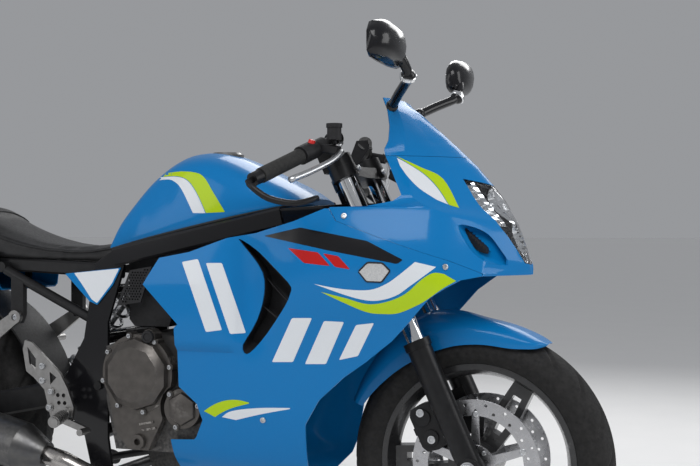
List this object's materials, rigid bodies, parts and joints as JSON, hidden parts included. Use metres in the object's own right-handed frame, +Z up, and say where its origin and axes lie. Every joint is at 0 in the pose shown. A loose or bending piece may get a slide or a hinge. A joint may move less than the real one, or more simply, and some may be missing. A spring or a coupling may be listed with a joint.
{
  "type": "sport motorcycle",
  "caption": "Fully faired sport motorcycle upright on its centre stand, with steering fork, turning wheels, folding stands, blue bodywork and black seat.",
  "frame": {"origin": "Middle of the machine at floor level, where the front tyre and the centre stand rest.", "axes": "+X forward, +Y to the rider's left, +Z up."},
  "size_m": [2.13, 0.7728, 1.255],
  "materials": {
    "blue_paint": "gloss",
    "tank_paint": "gloss",
    "screen": "gloss",
    "black_paint": "satin",
    "black_plastic": "matte",
    "seat_cover": "matte",
    "engine_alloy": "satin",
    "bare_alloy": "satin",
    "rim_paint": "satin",
    "steel": "satin",
    "chrome": "polished",
    "tyre": "matte",
    "rubber": "matte",
    "clear": "clear",
    "indicator_lens": "clear",
    "red_lens": "clear",
    "mirror": "polished"
  },
  "bodies": {
    "chassis": {"frame": "black_paint", "subframe": "black_paint", "airbox": "black_plastic", "rear_shock": "steel", "grab_rail": "black_plastic", "inner_mudguard": "black_plastic", "engine_block": "engine_alloy", "engine_covers": "engine_alloy", "radiator": "black_paint", "exhaust_pipes": "steel", "muffler": "bare_alloy", "fuel_tank": "tank_paint", "fuel_cap": "steel", "seat": "seat_cover", "tail_cowl": "blue_paint", "side_covers": "blue_paint", "side_grilles": "black_plastic", "upper_cowl": "blue_paint", "windscreen": "screen", "headlamp": "black_plastic", "headlamp_lens": "clear", "instruments": "black_plastic", "inner_panel": "black_plastic", "side_fairing_right": "blue_paint", "side_fairing_left": "blue_paint", "indicators": "indicator_lens", "tail_lamp": "red_lens", "rear_mudguard": "black_plastic", "mirrors": "black_plastic", "mirror_glass": "mirror", "footrests": "bare_alloy", "swingarm": "black_paint", "chain": "steel", "rear_caliper": "black_paint"},
    "steering": {"fork_clamps": "black_paint", "fork_tubes": "chrome", "fork_sliders": "black_paint", "front_mudguard": "blue_paint", "front_calipers": "black_paint", "handlebars": "black_paint", "grips": "rubber", "levers": "bare_alloy", "lever_guards": "black_plastic", "switchgear": "black_plastic"},
    "front_wheel": {"front_tyre": "tyre", "front_rim": "rim_paint", "front_discs": "steel"},
    "rear_wheel": {"rear_tyre": "tyre", "rear_rim": "rim_paint", "rear_disc": "steel", "rear_sprocket": "steel"},
    "centre_stand": {"centre_stand": "black_paint"},
    "side_stand": {"side_stand": "black_paint"}
  },
  "joints": [
    {"name": "steering_stem", "type": "hinge", "parent": "chassis", "child": "steering", "pos_m": [0.46767, 0, 0.86563], "axis": [-0.4147, 0, 0.91], "range_deg": [-30, 30]},
    {"name": "front_axle", "type": "hinge", "parent": "steering", "child": "front_wheel", "pos_m": [0.765, 0, 0.3], "axis": [0, 1, 0], "continuous": true},
    {"name": "rear_axle", "type": "hinge", "parent": "chassis", "child": "rear_wheel", "pos_m": [-0.705, 0, 0.332], "axis": [0, 1, 0], "continuous": true},
    {"name": "centre_stand_pivot", "type": "hinge", "parent": "chassis", "child": "centre_stand", "pos_m": [-0.128, 0, 0.228], "axis": [0, 1, 0], "range_deg": [0, 80]},
    {"name": "side_stand_pivot", "type": "hinge", "parent": "chassis", "child": "side_stand", "pos_m": [-0.057, 0.192, 0.256], "axis": [0.0705, -0.8321, -0.5501], "range_deg": [0, 92]}
  ]
}
